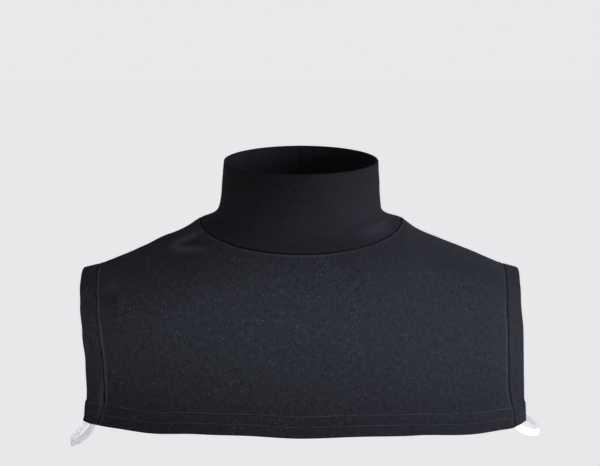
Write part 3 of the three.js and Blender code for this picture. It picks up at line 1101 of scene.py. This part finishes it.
@dataclass
class ArmBand:
    """Arm band: a strip folded lengthwise, turned up with the hem at both of its ends."""

    hand: Hand
    drape: Drape
    layer: float = 0.0008
    lift: float = 0.0005
    stand: float = 0.0024
    hem_depth: float = 0.016
    corner: float = 0.0014
    roll: Roll = Roll(depth=0.0008, stand_off=0.0005)
    pitch: float = 0.0022
    fine: float = 0.00022
    samples: int = 160
    slack: float = 0.00003  # half the air between two layers
    hem_rows: tuple[float, float] = (0.0080, 0.0155)
    # strength of the painted shade where the band turns into its seam
    shade_weight: float = 0.35
    seam_pucker: float = 0.004
    # The turned-up end peeks out past the edge, over a ramp of lengths round hem_depth
    end_peek: float = 0.0008
    peek_ramp: tuple[float, float] = (0.001, -0.0015)
    # Distances from the hem over which the rows change from equal lengths to equal shares
    blend: tuple[float, float] = (0.02, 0.06)
    pucker: Ripples = Ripples(0.00022)

    def section(self) -> tuple[Array, Array, Array]:
        """The folded strip across its width.

        Returns:
            Distance from the seam, height above the middle, and length across the flat strip.
        """
        edge = Turn(self.layer / 2.0 + self.slack, self.layer + self.slack)
        width = self.drape.band_width - self.roll.stand_off
        reach = width - edge.outermost + edge.bend()
        half = stations(reach, (0.0, reach), self.fine, self.pitch)
        along = np.concatenate([-half[:0:-1], half])
        distance, height = edge.spot(along, 0.0)
        return width - distance + self.roll.stand_off, height + edge.radius, along

    def rows(self, length: float, turn: Turn) -> Array:
        """Length of strip to each row: below 0 it is turned up inside the front, 0 is the hem."""
        under = self.hem_depth - turn.outermost + turn.bend()
        inside = stations(under, (0.0, under), self.fine, self.pitch)
        half = stations(length / 2.0, (0.0, *self.hem_rows), self.fine, self.pitch)
        front = np.concatenate([-inside[:0:-1], half])
        return np.concatenate([front, length - front[-2::-1]])

    def build(self) -> bpy.types.Object:
        """Model the band."""
        across, proud, flat = self.section()
        turn = Turn(self.layer + 2.0 * self.slack, 2.0 * self.layer + 3.0 * self.slack)
        outward = across / self.drape.band_width
        x = self.hand.value * (self.drape.bib_edge() + across)
        raised = self.corner * smoothstep(outward, 0.5, 1.0)
        low = self.drape.hem_slide(x, Side.FRONT, raised)
        high = self.drape.hem_slide(x, Side.BACK, raised)
        t = np.linspace(0.0, 1.0, self.samples)
        lines = Lines(
            self.drape, np.repeat(x[:, None], len(t), axis=1),
            low[:, None] + (high - low)[:, None] * t,
        )
        lengths = lines.lengths()[:, None]
        whole = float(lengths.mean()) + 2.0 * (turn.bend() - turn.outermost)
        rows = self.rows(whole, turn)[None, :] * np.ones_like(lengths)
        in_front = rows < whole / 2.0
        from_end = np.where(in_front, rows, whole - rows)
        distance, height = turn.spot(from_end, proud[:, None])
        middle = distance / (whole / 2.0) * (lengths / 2.0)
        share = smoothstep(distance, *self.blend)
        distance = distance * (1.0 - share) + middle * share
        place_x, slide = lines.at(np.where(in_front, distance, lengths - distance))
        roll = self.roll.drop(across)[:, None]
        angle = np.minimum(np.abs(slide), 1.0) * math.pi / 2.0
        stand = self.stand * outward[:, None] * np.cos(angle)
        level = self.lift + stand - self.layer + height - roll
        grain = np.stack([flat[:, None] * np.ones_like(rows), rows], axis=-1)
        fade = np.exp(-across / self.seam_pucker)[:, None]
        level += self.pucker.at(rows, grain[..., 0]) * fade
        start, end = (self.hem_depth + off for off in self.peek_ramp)
        peek = self.end_peek * smoothstep(distance, start, end)
        place_x = place_x + self.hand.value * peek * smoothstep(outward, 0.3, 1.0)[:, None]
        name = f"arm_band_{self.hand.name.lower()}_cloth"
        # painted shade at the seam and in the folds' hollows, painted highlight on their crests
        painted_shade = self.shade_weight * self.roll.painted_shade(across)[:, None]
        painted_shade = painted_shade + self.drape.fold_painted_shade(self.drape.point(place_x, slide))
        piece = mapped_sheet(name, self.drape.skin(place_x, slide, level), grain, painted_shade=painted_shade)
        thicken(piece, self.layer)
        return piece


@dataclass
class Collar:
    """Stand collar: a strip folded at the rim and joined at the middle of the back."""

    drape: Drape
    half: float = 0.0614
    depth_half: float = 0.058
    back_shift: float = -0.008
    rise: float = 0.047
    tilt: float = 0.145
    foot: float = 0.017
    # At the left and right end of the shoulder line: how sharply the collar turns up from its
    # foot, and how far the inner end of that foot lies below the line of the bib
    sharpness: tuple[float, float] = (4.0, 6.0)
    sink: tuple[float, float] = (0.00153, 0.0028)
    lift: float = 0.0005
    layer: float = 0.0009
    between: float = 0.0002
    roll: Roll = Roll(radius=0.0018)
    join: Roll = Roll(0.0011, 0.0006, 0.0)
    # strength of the painted shade at the join at the back
    join_shade: float = 0.5
    near_seam: float = 0.010  # length above the neck seam with closer rows
    rim_cuts: int = 5
    seam_pucker: float = 0.006
    # Ramps at the foot and below the rim, where the sway of the cloth starts and ends
    sway_foot: tuple[float, float] = (0.004, 0.014)
    sway_rim: float = 0.006
    # Spots of painted light and shade: turn round the neck, share of the rise, reach of both,
    # and painted shade, below 0 a painted highlight
    spots: tuple[tuple[float, ...], ...] = (
        (0.55, 0.16, 0.3, 0.15, -0.65), (2.3, 0.5, 0.6, 0.6, 0.2), (0.9, 0.85, 0.5, 0.2, -0.1),
    )
    columns: int = 300
    pitch: float = 0.0017
    fine: float = 0.00018
    samples: int = 96
    angle_step: float = 1e-3
    pucker: Ripples = Ripples(0.00025)
    sway: Ripples = Ripples(0.0003)

    def seam_point(self, angle: Array) -> Array:
        """Point of the draped surface on the neck seam."""
        return self.drape.point(*self.drape.neck_spot(angle, 0.0))

    def point(self, angle: Array, rise: Array) -> Array:
        """Point of the outer face: rise 0 is the neck seam and rise 1 the rim."""
        x, slide = self.drape.neck_spot(angle, 0.0)
        seam = self.drape.skin(x, slide, self.lift)
        step = self.angle_step
        around = self.seam_point(angle + step) - self.seam_point(angle - step)
        outward = self.drape.normal(x, slide)
        inward = unit(np.cross(around, outward))
        y = self.back_shift - self.depth_half * np.sin(angle)
        rim = np.stack([self.half * np.cos(angle), y, self.rise + self.tilt * y], axis=-1)
        rightward = (1.0 + np.cos(angle)) / 2.0
        sink = self.sink[0] + (self.sink[1] - self.sink[0]) * rightward
        sharp = self.sharpness[0] + (self.sharpness[1] - self.sharpness[0]) * rightward
        turn = seam + inward * self.foot - outward * sink[..., None]
        shares = np.stack(
            [(1.0 - rise) ** 2, 2.0 * sharp * rise * (1.0 - rise), rise**2], axis=-1
        )
        shares = shares / shares.sum(axis=-1, keepdims=True)
        return shares[..., :1] * seam + shares[..., 1:2] * turn + shares[..., 2:] * rim

    def upward(self, angle: Array, rise: Array) -> Array:
        """Direction up the outer face."""
        inside = np.clip(rise, self.angle_step, 1.0 - self.angle_step)
        step = self.angle_step
        return unit(self.point(angle, inside + step) - self.point(angle, inside - step))

    def normal(self, angle: Array, rise: Array) -> Array:
        """Outward direction of the outer face."""
        step = self.angle_step
        inside = np.clip(rise, step, 1.0 - step)
        around = self.point(angle + step, inside) - self.point(angle - step, inside)
        return unit(np.cross(self.upward(angle, inside), around))

    def build(self) -> bpy.types.Object:
        """Model the collar."""
        turn = Turn((self.layer + self.between) / 2.0, 0.0)
        angle = -math.pi / 2.0 - np.linspace(0.0, 2.0 * math.pi, self.columns + 1)
        rise = np.linspace(0.0, 1.0, self.samples)
        reach = reach_along(self.point(*np.broadcast_arrays(angle[:, None], rise)))
        lengths = reach[:, -1:] - self.roll.stand_off
        near, mean = self.near_seam, float(lengths.mean())
        to_seam = stations(near, (0.0,), self.fine, self.pitch)
        from_rim = stations(mean - near, (0.0,), self.fine, self.pitch) / (mean - near)
        share = np.concatenate([from_rim, np.ones(len(to_seam) - 1)])
        extra = np.concatenate([np.zeros(len(from_rim)), near - to_seam[-2::-1]])
        down = share * (lengths - near) + extra + turn.bend() * share
        bend = np.linspace(0.0, turn.bend(), self.rim_cuts)[:-1] * np.ones_like(lengths)
        shift = turn.bend() * (1.0 - share)
        outer = np.concatenate([bend, down + shift], axis=1)
        along = np.concatenate([-outer[:, :0:-1], outer], axis=1)
        distance, height = turn.spot(along, 0.0)
        past = np.maximum(-distance, 0.0)
        from_seam = np.maximum(lengths - np.maximum(distance, 0.0), 0.0) + self.roll.stand_off
        rises = np.array([np.interp(d, r, rise) for d, r in zip(from_seam, reach)])
        angles = angle[:, None] * np.ones_like(rises)
        normal = self.normal(angles, rises)
        spread = self.drape.neck_half + self.half
        grain = np.stack([angles * spread / 2.0, along], axis=-1)
        join = np.abs(((angles + math.pi / 2.0 + math.pi) % (2.0 * math.pi)) - math.pi)
        level = -self.layer / 2.0 + height - self.roll.drop(from_seam)
        level -= self.join.drop(join * self.half)
        fade = np.exp(-from_seam / self.seam_pucker)
        ripple = self.pucker.at(grain[..., 0], from_seam) * fade
        body = smoothstep(from_seam, *self.sway_foot)
        body = body * smoothstep(from_seam, mean, mean - self.sway_rim)
        level += ripple + self.sway.at(grain[..., 0], from_seam) * body
        places = self.point(angles, rises) + normal * level[..., None]
        places += self.upward(angles, rises) * past[..., None]
        # painted shade at the back join and where the collar turns into the neck seam
        joined = self.join_shade * self.join.painted_shade(join * self.half)
        painted_shade = np.maximum(self.roll.painted_shade(from_seam), joined)
        # painted highlights on the right of the foot and near the rim, painted shade on the front
        # left
        for turned, risen, wide, high, value in self.spots:
            round_neck = np.angle(np.exp(1j * (angles - turned))) / wide
            off = round_neck**2 + ((rises - risen) / high) ** 2
            painted_shade = painted_shade + value * np.exp(-off)
        piece = mapped_sheet("collar_cloth", places, grain, joined=True, painted_shade=painted_shade)
        thicken(piece, self.layer)
        return piece


@dataclass
class Allowance:
    """Seam allowance: the strip of cloth that lies turned back inside a sewn line."""

    drape: Drape
    layer: float = 0.0009
    width: float = 0.006
    depth: float = 0.0016
    sink: float = 0.0016
    rise_over: float = 0.0013
    tuck: float = 0.0004  # how far the strip reaches past the seam
    end_gap: float = 0.001  # between a shoulder strip and the seams at its ends
    above_hem: float = 0.0165
    rows: int = 12

    def strip(self, name: str, x: Array, slide: Array, joined: bool = False) -> bpy.types.Object:
        """Model a strip.

        Args:
            name: name of the piece.
            x: distance from the middle, for places along the seam and out from it.
            slide: slide of the same places.
            joined: whether the strip runs full circle.

        Returns:
            The piece.
        """
        out = self.outward()
        level = -self.depth - self.sink * np.exp(-((out / self.rise_over) ** 2))
        places = self.drape.skin(x, slide, level * np.ones_like(x))
        reach = reach_along(places[:, 0])
        grain = np.stack([reach[:, None] * np.ones_like(x), out * np.ones_like(x)], axis=-1)
        # painted shade near the seam
        painted_shade = smoothstep(out, self.rise_over, 0.0) * np.ones_like(x)
        piece = mapped_sheet(name, places, grain, joined, painted_shade)
        thicken(piece, self.layer)
        return piece

    def outward(self) -> Array:
        """Distances from the seam of the rows of a strip."""
        return np.linspace(-self.tuck, self.width, self.rows)

    def neck(self) -> bpy.types.Object:
        """The strip under the neck seam."""
        angle = -math.pi / 2.0 - np.linspace(0.0, 2.0 * math.pi, 301)
        spots = [self.drape.neck_spot(angle, grow) for grow in self.outward()]
        x, slide = (np.stack(values, axis=1) for values in zip(*spots))
        return self.strip("neck_seam_allowance", x, slide, joined=True)

    def band(self, hand: Hand) -> bpy.types.Object:
        """The strip under the seam of one arm band."""
        x = hand.value * (self.drape.bib_edge() - self.outward())
        low = self.drape.hem_slide(x, Side.FRONT, self.above_hem)
        high = self.drape.hem_slide(x, Side.BACK, self.above_hem)
        share = np.linspace(0.0, 1.0, 161)[:, None]
        slide = low + (high - low) * share
        name = f"band_seam_allowance_{hand.name.lower()}"
        return self.strip(name, x * np.ones_like(slide), slide)

    def shoulder(self, hand: Hand) -> bpy.types.Object:
        """The strip under one shoulder seam, turned toward the back."""
        inner = self.drape.neck_half + self.end_gap
        reach = np.linspace(inner, self.drape.bib_edge() - self.end_gap, 61)
        slide = -2.0 * self.outward() / (self.drape.edge_depth * math.pi)
        x = hand.value * reach[:, None] * np.ones_like(slide)
        name = f"shoulder_seam_allowance_{hand.name.lower()}"
        return self.strip(name, x, slide * np.ones_like(x))


@dataclass
class Strap:
    """Under-arm strap: a flat clear elastic that lies inside the ends of an arm band."""

    hand: Hand
    drape: Drape
    width: float = 0.0056
    thick: float = 0.0006
    hold: float = 0.013
    sag: float = 0.021
    bow: float = 0.0255
    inside: float = -0.0032
    hang_left: float = 1.24  # the straps hang unlike each other
    hang_right: float = 0.76
    squareness: tuple[float, float] = (0.35, 0.8)  # of its section, across and through
    facets: int = 24
    rows: int = 150
    # Along the free part, drop as a share of sag, and swing as a share of bow
    loop: tuple[tuple[float, float, float], ...] = (
        (0.07, 0.36, 0.22), (0.24, 0.8, 0.72), (0.5, 1.0, 1.0), (0.76, 0.8, 0.72),
        (0.93, 0.36, 0.22),
    )

    def hang(self) -> float:
        """How low this strap hangs, as a share of sag."""
        return self.hang_left if self.hand is Hand.LEFT else self.hang_right

    def course(self) -> tuple[Array, Array]:
        """Points and facing directions, from inside the front end of the band to the back one."""
        x = np.array(self.hand.value * (self.drape.bib_half - self.drape.band_width / 2.0))

        def held(side: Side, raised: float) -> tuple[Array, Array]:
            """Point and facing direction inside the band, at a height above the hem."""
            slide = self.drape.hem_slide(x, side, raised)
            return self.drape.skin(x, slide, self.inside), self.drape.normal(x, slide)

        front, back = held(Side.FRONT, 0.0), held(Side.BACK, 0.0)
        entry = [held(Side.FRONT, self.hold), held(Side.FRONT, self.hold / 2.0), front]
        leave = [back, held(Side.BACK, self.hold / 2.0), held(Side.BACK, self.hold)]
        middle = []
        for along, sag, bow in self.loop:
            place = front[0] + (back[0] - front[0]) * along
            out = self.hand.value * bow * self.bow
            place = place + np.array([out, 0.0, -sag * self.hang() * self.sag])
            facing = front[1] + (back[1] - front[1]) * along
            middle.append((place, unit(facing * np.array([1.0, 1.0, 0.0]))))
        course = entry + middle + leave
        return np.array([c[0] for c in course]), np.array([c[1] for c in course])

    def build(self) -> bpy.types.Object:
        """Model the strap."""
        points, facings = self.course()
        line = self.smooth(points, self.rows)
        facing = unit(self.smooth(facings, self.rows))
        tangent = unit(np.gradient(line, axis=0))
        across = unit(np.cross(tangent, facing))
        outward = np.cross(across, tangent)
        half = self.width / 2.0
        turn = np.linspace(0.0, 2.0 * math.pi, self.facets + 1)
        flat, round_off = self.squareness
        wide = np.sign(np.cos(turn)) * np.abs(np.cos(turn)) ** flat * half
        high = np.sign(np.sin(turn)) * np.abs(np.sin(turn)) ** round_off * self.thick / 2.0
        places = (
            line[None] + wide[:, None, None] * across[None] + high[:, None, None] * outward[None]
        )
        reach = reach_along(line)
        grain = np.stack(np.broadcast_arrays(wide[:, None], reach[None, :]), axis=-1)
        name = f"strap_{self.hand.name.lower()}_elastic"
        piece = mapped_sheet(name, places, grain, joined=True)
        build = bmesh.new()
        build.from_mesh(piece.data)
        ends = [edge for edge in build.edges if edge.is_boundary]
        bmesh.ops.holes_fill(build, edges=ends, sides=0)
        bmesh.ops.recalc_face_normals(build, faces=build.faces)
        build.to_mesh(piece.data)
        build.free()
        return piece

    def smooth(self, points: Array, count: int) -> Array:
        """A smooth line through points, as evenly spaced samples."""
        steps = np.sqrt(np.linalg.norm(np.diff(points, axis=0), axis=1))
        knots = np.concatenate([[0.0], np.cumsum(steps)])
        before, after = 2 * points[0] - points[1], 2 * points[-1] - points[-2]
        padded = np.concatenate([[before], points, [after]])
        times = np.concatenate([[-steps[0]], knots, [knots[-1] + steps[-1]]])
        at = np.linspace(0.0, knots[-1], count)
        index = np.clip(np.searchsorted(knots, at, side="right") - 1, 0, len(points) - 2)
        p = [padded[index + k] for k in range(4)]
        t = [times[index + k][:, None] for k in range(4)]
        now = at[:, None]

        def between(start: int, end: int, low: Array, high: Array) -> Array:
            """Blend of two values by where each sample lies between two times."""
            span = t[end] - t[start]
            return (t[end] - now) / span * low + (now - t[start]) / span * high

        first = [between(k, k + 1, p[k], p[k + 1]) for k in range(3)]
        second = [between(k, k + 2, first[k], first[k + 1]) for k in range(2)]
        return between(1, 2, *second)


@dataclass
class Sewing:
    """The stitches that show: two rows round the hem and one beside each arm band."""

    drape: Drape
    hem_rows: tuple[float, float] = (0.0080, 0.0155)
    hem_pitch: float = 0.00215
    band_pitch: float = 0.0023
    band_inset: float = 0.0018
    lift: float = 0.0005
    hem_level: float = -0.0001
    band_level: float = 0.0001
    end_gap: float = 0.0015  # between a hem row and the edge of an arm band
    ramp: float = 0.001  # over which a hem row climbs onto a band
    above_hem: float = 0.001
    samples: int = 600
    thread: Thread = Thread()

    def hem(self, side: Side) -> bpy.types.Object:
        """Both rows of stitches of one hem, bib and band ends alike."""
        rows = []
        edge = self.drape.bib_edge()
        reach = self.drape.bib_half - self.end_gap
        for raised in self.hem_rows:
            x = np.linspace(-reach, reach, 500)
            slide = self.drape.hem_slide(x, side, raised)
            on_band = smoothstep(np.abs(x), edge, edge + self.ramp)
            level = self.hem_level + self.lift * on_band
            rows.append((self.drape.skin(x, slide, level), self.drape.normal(x, slide)))
        return self.thread.sew(f"hem_stitches_{side.name.lower()}", rows, self.hem_pitch)

    def band(self, hand: Hand) -> bpy.types.Object:
        """The row on the bib beside one arm band, from hem to hem."""
        x = np.array(hand.value * (self.drape.bib_edge() - self.band_inset))
        low = self.drape.hem_slide(x, Side.FRONT, self.above_hem)
        high = self.drape.hem_slide(x, Side.BACK, self.above_hem)
        slide = np.linspace(low, high, self.samples)
        x = np.full(slide.shape, float(x))
        row = (self.drape.skin(x, slide, self.band_level), self.drape.normal(x, slide))
        return self.thread.sew(f"band_stitches_{hand.name.lower()}", [row], self.band_pitch)


@dataclass(frozen=True)
class Lamp:
    """A soft light with a narrow spread in degrees, which spares the floor; power in watts."""

    name: str
    place: tuple[float, float, float]
    target: tuple[float, float, float]
    size: tuple[float, float]
    spread: float
    power: float
    daylight: tuple[float, float, float] = (0.9, 0.95, 1.1)

    def hang(self) -> None:
        """Put the light in its place, aimed at its target."""
        lamp = bpy.data.lights.new(self.name, "AREA")
        lamp.shape = "RECTANGLE"
        lamp.size, lamp.size_y = self.size
        lamp.energy = self.power
        lamp.color = self.daylight
        lamp.spread = math.radians(self.spread)
        light = bpy.data.objects.new(self.name, lamp)
        light.location = self.place
        aim = Vector(self.target) - Vector(self.place)
        light.rotation_euler = aim.to_track_quat("-Z", "Y").to_euler()
        bpy.context.scene.collection.objects.link(light)


@dataclass
class Studio:
    """Floor, lights and camera."""

    floor_level: float = -1.3
    floor_reach: float = 400.0
    pale: Colour = (0.815, 0.815, 0.838, 1.0)
    zenith: Colour = (0.14, 0.14, 0.15, 1.0)
    # Heights of the sky, as shares of straight up, between which it turns from pale to zenith
    sky_ramp: tuple[float, float] = (0.12, 0.8)
    lamps: tuple[Lamp, ...] = (
        Lamp("key", (1.55, -0.5, 0.2), (0.0, 0.0, -0.02), (0.9, 0.9), 80.0, 12.0),
        Lamp("chest_light", (0.35, -1.7, -0.1), (0.035, -0.1, -0.07), (0.5, 0.06), 8.5, 0.5),
    )
    distance: float = 1.3
    tilt: float = math.radians(5.0)
    # Shift of the picture, as shares of its width, that brings the piece to its place in it
    shift_right: float = -1.0 / 600.0
    shift_up: float = -15.5 / 600.0
    lens: float = 97.5
    sensor: float = 36.0

    def build(self, looks: Looks) -> None:
        """Set the stage."""
        self.floor(looks)
        self.lights()
        self.camera()

    def floor(self, looks: Looks) -> None:
        """A plain pale floor, well below the piece, which hangs at shoulder height."""
        build = bmesh.new()
        bmesh.ops.create_circle(
            build, cap_ends=True, segments=96, radius=self.floor_reach,
            matrix=Matrix.Translation((0.0, 0.0, self.floor_level)),
        )
        floor = finished("floor", build)
        floor.data.materials.append(FloorFinish("pale_floor").make(looks))

    def lights(self) -> None:
        """Soft light from all round, with the main one in front on the right."""
        world = bpy.data.worlds.new("studio")
        world.use_nodes = True
        sky = Nodes(world.node_tree)
        direction = sky.node("ShaderNodeTexCoord").outputs["Generated"]
        height = sky.filled("ShaderNodeSeparateXYZ", {"Vector": direction}).outputs["Z"]
        low, high = self.sky_ramp
        ramp = {"Value": height, "From Min": low, "From Max": high}
        rise = sky.filled("ShaderNodeMapRange", ramp, interpolation_type="SMOOTHSTEP")
        colour = sky.mix(rise.outputs["Result"], self.pale, self.zenith)
        sky.feed(sky.tree.nodes["Background"].inputs["Color"], colour)
        bpy.context.scene.world = world
        for lamp in self.lamps:
            lamp.hang()

    def camera(self) -> None:
        """A camera at the photograph's angle: level with the neck, a little above."""
        ahead = Vector((0.0, math.cos(self.tilt), -math.sin(self.tilt)))
        lens = bpy.data.cameras.new("camera")
        lens.lens = self.lens
        lens.sensor_width = self.sensor
        lens.sensor_fit = "HORIZONTAL"
        lens.clip_start = 0.01
        lens.clip_end = 3.0 * self.floor_reach
        lens.shift_x = self.shift_right
        lens.shift_y = self.shift_up
        camera = bpy.data.objects.new("camera", lens)
        camera.location = -ahead * self.distance
        camera.rotation_euler = ahead.to_track_quat("-Z", "Y").to_euler()
        bpy.context.scene.collection.objects.link(camera)
        bpy.context.scene.camera = camera


def dress(piece: bpy.types.Object, material: bpy.types.Material, slot: Slot, *nodes: str) -> None:
    """Give a piece its finish and its body, and hide the solids it stands for."""
    piece.data.materials.append(material)
    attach(piece, BODY)
    if nodes:
        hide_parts(*nodes)
    LOG.info("%s: %d faces", piece.name, len(piece.data.polygons))


def main() -> None:
    """Build the dickey and its stage."""
    logging.basicConfig(level=logging.INFO, format="%(message)s")
    bpy.context.scene.view_settings.view_transform = "Standard"
    looks = Looks()
    Studio().build(looks)
    drape = Drape()
    seams = Seams(drape)
    panel_jersey = JerseyFinish("panel_jersey_cloth").make(looks)
    # The collar's cloth is darker than the panel's: partly its denser doubled jersey, partly
    # painted shade
    collar_jersey = JerseyFinish(
        "collar_jersey_cloth", dark=(0.0040, 0.0039, 0.0046, 1.0),
        light=(0.0081, 0.0080, 0.0093, 1.0), lint_amount=0.42,
    ).make(looks)
    band_jersey = JerseyFinish("band_jersey_cloth").make(looks)
    thread = ThreadFinish("black_thread").make(looks)
    elastic = ElasticFinish("clear_elastic_strap").make(looks)

    allowance = Allowance(drape)
    collar = Collar(drape).build()
    dress(collar, collar_jersey, Slot.COLLAR, "collar")
    neck = allowance.neck()
    dress(neck, panel_jersey, Slot.PANEL)
    for side in Side:
        panel = Panel(side, drape, seams).build()
        dress(panel, panel_jersey, Slot.PANEL, f"{side.name.lower()}_panel")
        strips = []
        if side is Side.BACK:
            strips = [allowance.shoulder(hand) for hand in Hand]
        for strip in strips:
            dress(strip, panel_jersey, Slot.PANEL)
    for hand in Hand:
        label = hand.name.lower()
        band = ArmBand(hand, drape).build()
        dress(band, band_jersey, Slot.BAND, f"arm_band_{label}")
        strip = allowance.band(hand)
        dress(strip, band_jersey, Slot.BAND)
        strap = Strap(hand, drape).build()
        dress(strap, elastic, Slot.ELASTIC, f"strap_{label}")
    sewing = Sewing(drape)
    for side in Side:
        dress(sewing.hem(side), thread, Slot.PANEL)
    for hand in Hand:
        dress(sewing.band(hand), thread, Slot.PANEL)


if __name__ == "__main__":
    main()
